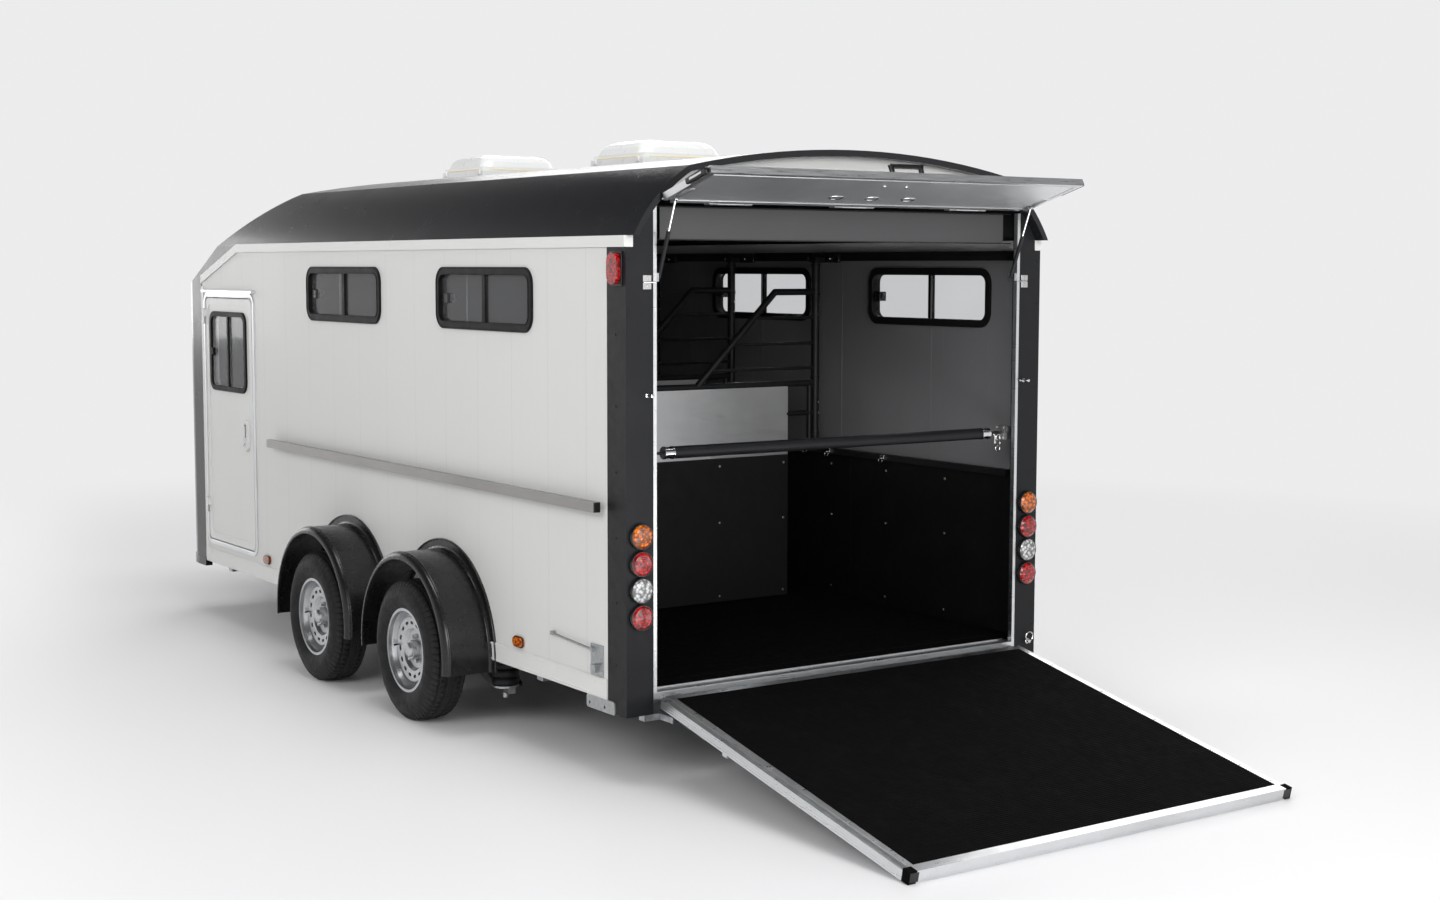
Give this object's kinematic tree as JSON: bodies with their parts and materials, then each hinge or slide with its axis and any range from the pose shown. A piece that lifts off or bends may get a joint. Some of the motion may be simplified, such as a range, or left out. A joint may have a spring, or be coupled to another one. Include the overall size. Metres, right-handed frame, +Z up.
{
  "type": "horse trailer",
  "caption": "Enclosed twin-axle horse trailer with a lowered rear ramp, raised top flap, groom's door, swinging stall gates, roof hatches and a ball-coupling drawbar.",
  "frame": {"origin": "middle of the whole length and width, on the ground under the wheels", "axes": "+X runs forward to the coupling, +Y to the trailer's left side, +Z up"},
  "size_m": [7.818, 2.5446, 2.54],
  "materials": {
    "aluminium": "anodised, satin",
    "black_gloss": "anthracite gloss",
    "black_plastic": "matt black",
    "black_rubber": "ribbed matt rubber",
    "chrome": "polished rod",
    "galvanised": "hot-dip galvanised, satin",
    "gate_metal": "black powder coat",
    "glass": "smoked acrylic",
    "grey_board": "satin grey",
    "lens_amber": "clear amber lens",
    "lens_clear": "clear lens",
    "lens_red": "clear red lens",
    "plywood": "phenol-faced board, dark",
    "silver_paint": "silver",
    "strut_black": "black gloss",
    "tyre": "black, treaded",
    "white_panel": "off-white gloss panel",
    "white_plastic": "moulded white",
    "zinc": "zinc plated"
  },
  "bodies": {
    "trailer": {"chassis_frame": "galvanised", "drawbar": "galvanised", "overrun_housing": "galvanised", "coupling_head": "zinc", "axles": "galvanised", "suspension_units": "strut_black", "floor_deck": "plywood", "side_wall_left": "white_panel", "side_wall_right": "white_panel", "front_nose": "black_gloss", "roof_shell": "black_gloss", "rear_gable": "white_panel", "rear_posts": "black_gloss", "opening_trim": "aluminium", "side_rails": "white_panel", "mudguards": "black_plastic", "window_frames": "black_plastic", "window_panes": "glass", "lamps_red": "lens_red", "lamps_amber": "lens_amber", "lamps_clear": "lens_clear", "tie_rail": "aluminium", "door_frame": "aluminium", "kick_panels": "black_rubber", "stall_fittings": "gate_metal", "bulkhead": "grey_board", "hatch_bases": "white_plastic", "rear_hardware": "galvanised"},
    "wheel_rear_left": {"tyre_rear_left": "tyre", "rim_rear_left": "silver_paint"},
    "wheel_rear_right": {"tyre_rear_right": "tyre", "rim_rear_right": "silver_paint"},
    "wheel_front_left": {"tyre_front_left": "tyre", "rim_front_left": "silver_paint"},
    "wheel_front_right": {"tyre_front_right": "tyre", "rim_front_right": "silver_paint"},
    "ramp": {"ramp_panel": "grey_board", "ramp_rubber": "black_rubber", "ramp_frame": "aluminium"},
    "flap": {"flap_panel": "aluminium", "flap_frame": "aluminium"},
    "flap_cylinder_left_body": {"flap_cylinder_left": "strut_black"},
    "flap_rod_left_body": {"flap_rod_left": "chrome"},
    "flap_cylinder_right_body": {"flap_cylinder_right": "strut_black"},
    "flap_rod_right_body": {"flap_rod_right": "chrome"},
    "ramp_cylinder_left_body": {"ramp_cylinder_left": "strut_black"},
    "ramp_rod_left_body": {"ramp_rod_left": "chrome"},
    "ramp_cylinder_right_body": {"ramp_cylinder_right": "strut_black"},
    "ramp_rod_right_body": {"ramp_rod_right": "chrome"},
    "door": {"door_leaf": "white_panel", "door_pane": "glass"},
    "gate_1_body": {"gate_1": "gate_metal"},
    "gate_2_body": {"gate_2": "gate_metal"},
    "gate_3_body": {"gate_3": "gate_metal"},
    "rump_bar_body": {"rump_bar": "gate_metal"},
    "hatch_rear": {"hatch_lid_rear": "white_plastic"},
    "hatch_front": {"hatch_lid_front": "white_plastic"},
    "jockey_slide_body": {"jockey_tube": "zinc"},
    "jockey_fork_body": {"jockey_fork": "galvanised"},
    "jockey_wheel_body": {"jockey_wheel": "black_rubber"}
  },
  "joints": [
    {"name": "wheel_rear_left_spin", "type": "hinge", "parent": "trailer", "child": "wheel_rear_left", "pos_m": [-0.88103, 1.175, 0.3075], "axis": [0, 1, 0], "continuous": true},
    {"name": "wheel_rear_right_spin", "type": "hinge", "parent": "trailer", "child": "wheel_rear_right", "pos_m": [-0.88103, -1.175, 0.3075], "axis": [0, 1, 0], "continuous": true},
    {"name": "wheel_front_left_spin", "type": "hinge", "parent": "trailer", "child": "wheel_front_left", "pos_m": [0.11897, 1.175, 0.3075], "axis": [0, 1, 0], "continuous": true},
    {"name": "wheel_front_right_spin", "type": "hinge", "parent": "trailer", "child": "wheel_front_right", "pos_m": [0.11897, -1.175, 0.3075], "axis": [0, 1, 0], "continuous": true},
    {"name": "ramp_hinge", "type": "hinge", "parent": "trailer", "child": "ramp", "pos_m": [-2.42103, 0, 0.33], "axis": [0, 1, 0], "range_deg": [0, 101.71]},
    {"name": "flap_hinge", "type": "hinge", "parent": "trailer", "child": "flap", "pos_m": [-2.42103, 0, 2.215], "axis": [0, -1, 0], "range_deg": [0, 106]},
    {"name": "flap_cylinder_left_pivot", "type": "hinge", "parent": "trailer", "child": "flap_cylinder_left_body", "pos_m": [-2.37603, 0.8945, 1.935], "axis": [0, 1, 0], "range_deg": [0, 12.21]},
    {"name": "flap_rod_left_slide", "type": "slide", "parent": "flap_cylinder_left_body", "child": "flap_rod_left_body", "axis": [-0.3691, 0, 0.9294], "range_m": [-0.0988, 0]},
    {"name": "flap_cylinder_right_pivot", "type": "hinge", "parent": "trailer", "child": "flap_cylinder_right_body", "pos_m": [-2.37603, -0.8945, 1.935], "axis": [0, 1, 0], "range_deg": [0, 12.21]},
    {"name": "flap_rod_right_slide", "type": "slide", "parent": "flap_cylinder_right_body", "child": "flap_rod_right_body", "axis": [-0.3691, 0, 0.9294], "range_m": [-0.0988, 0]},
    {"name": "ramp_cylinder_left_pivot", "type": "hinge", "parent": "trailer", "child": "ramp_cylinder_left_body", "pos_m": [-2.46603, 0.88, 0.262], "axis": [0, 1, 0], "range_deg": [0, 99.51]},
    {"name": "ramp_rod_left_slide", "type": "slide", "parent": "ramp_cylinder_left_body", "child": "ramp_rod_left_body", "axis": [-0.9882, 0, -0.1529], "range_m": [0, 0.12544]},
    {"name": "ramp_cylinder_right_pivot", "type": "hinge", "parent": "trailer", "child": "ramp_cylinder_right_body", "pos_m": [-2.46603, -0.88, 0.262], "axis": [0, 1, 0], "range_deg": [0, 99.51]},
    {"name": "ramp_rod_right_slide", "type": "slide", "parent": "ramp_cylinder_right_body", "child": "ramp_rod_right_body", "axis": [-0.9882, 0, -0.1529], "range_m": [0, 0.12544]},
    {"name": "door_hinge", "type": "hinge", "parent": "trailer", "child": "door", "pos_m": [2.05097, 1.064, 0.64], "axis": [0, 0, -1], "range_deg": [0, 160]},
    {"name": "gate_1_hinge", "type": "hinge", "parent": "trailer", "child": "gate_1_body", "pos_m": [-0.94603, -0.935, 2], "axis": [0, 0, 1], "range_deg": [0, 90]},
    {"name": "gate_2_hinge", "type": "hinge", "parent": "trailer", "child": "gate_2_body", "pos_m": [-0.22603, -0.935, 2], "axis": [0, 0, 1], "range_deg": [0, 30]},
    {"name": "gate_3_hinge", "type": "hinge", "parent": "trailer", "child": "gate_3_body", "pos_m": [0.49397, -0.935, 2], "axis": [0, 0, 1], "range_deg": [0, 30]},
    {"name": "rump_bar_hook", "type": "hinge", "parent": "trailer", "child": "rump_bar_body", "pos_m": [-2.31103, 0.8926, 1.262], "axis": [1, 0, 0], "range_deg": [0, 28]},
    {"name": "hatch_rear_hinge", "type": "hinge", "parent": "trailer", "child": "hatch_rear", "pos_m": [-0.76603, 0, 2.462], "axis": [0, 1, 0], "range_deg": [0, 40]},
    {"name": "hatch_front_hinge", "type": "hinge", "parent": "trailer", "child": "hatch_front", "pos_m": [0.74897, 0, 2.462], "axis": [0, 1, 0], "range_deg": [0, 40]},
    {"name": "jockey_slide", "type": "slide", "parent": "trailer", "child": "jockey_slide_body", "axis": [0, 0, 1], "range_m": [0, 0.17]},
    {"name": "jockey_swivel", "type": "hinge", "parent": "jockey_slide_body", "child": "jockey_fork_body", "pos_m": [3.30897, -0.15, 0.212], "axis": [0, 0, 1], "continuous": true},
    {"name": "jockey_wheel_spin", "type": "hinge", "parent": "jockey_fork_body", "child": "jockey_wheel_body", "pos_m": [3.26397, -0.15, 0.1], "axis": [0, 1, 0], "continuous": true}
  ],
  "couplings": [
    {"joint": "flap_cylinder_left_pivot", "follows": "flap_hinge", "ratio": 0.11507},
    {"joint": "flap_rod_left_slide", "follows": "flap_hinge", "m_per_rad": -0.053401},
    {"joint": "flap_cylinder_right_pivot", "follows": "flap_hinge", "ratio": 0.11507},
    {"joint": "flap_rod_right_slide", "follows": "flap_hinge", "m_per_rad": -0.053401},
    {"joint": "ramp_cylinder_left_pivot", "follows": "ramp_hinge", "ratio": 0.97825},
    {"joint": "ramp_rod_left_slide", "follows": "ramp_hinge", "m_per_rad": 0.070659},
    {"joint": "ramp_cylinder_right_pivot", "follows": "ramp_hinge", "ratio": 0.97825},
    {"joint": "ramp_rod_right_slide", "follows": "ramp_hinge", "m_per_rad": 0.070659}
  ]
}
